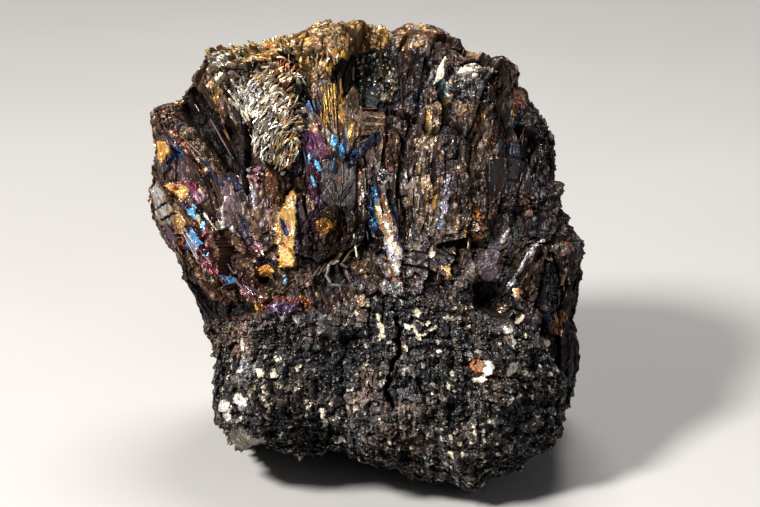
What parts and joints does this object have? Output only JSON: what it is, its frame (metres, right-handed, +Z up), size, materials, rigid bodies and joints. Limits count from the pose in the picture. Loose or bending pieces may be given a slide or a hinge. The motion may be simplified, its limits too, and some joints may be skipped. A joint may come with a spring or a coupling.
{
  "type": "covellite specimen",
  "caption": "Hand-sized mineral specimen: a radiating fan of tarnished platy crystals on a granular sulphide matrix, standing on its broken base.",
  "frame": {"origin": "middle of the bounding box, at the base, in the plane the specimen stands on", "axes": "+Z up, -Y towards the display face, +X to the right of someone who looks at that face"},
  "size_m": [0.09, 0.0716, 0.091],
  "materials": {
    "tarnished_covellite": "metallic, dark bronze-brown plates with thin bright edges",
    "iridescent_plates": "metallic, indigo-blue plates tarnished purple, magenta and gold",
    "granular_matrix": "fine-grained, dark grey, glittering",
    "pale_crust": "pale gold to white, finely foliated, glittering"
  },
  "bodies": {
    "root": {"specimen": "tarnished_covellite"}
  },
  "joints": []
}
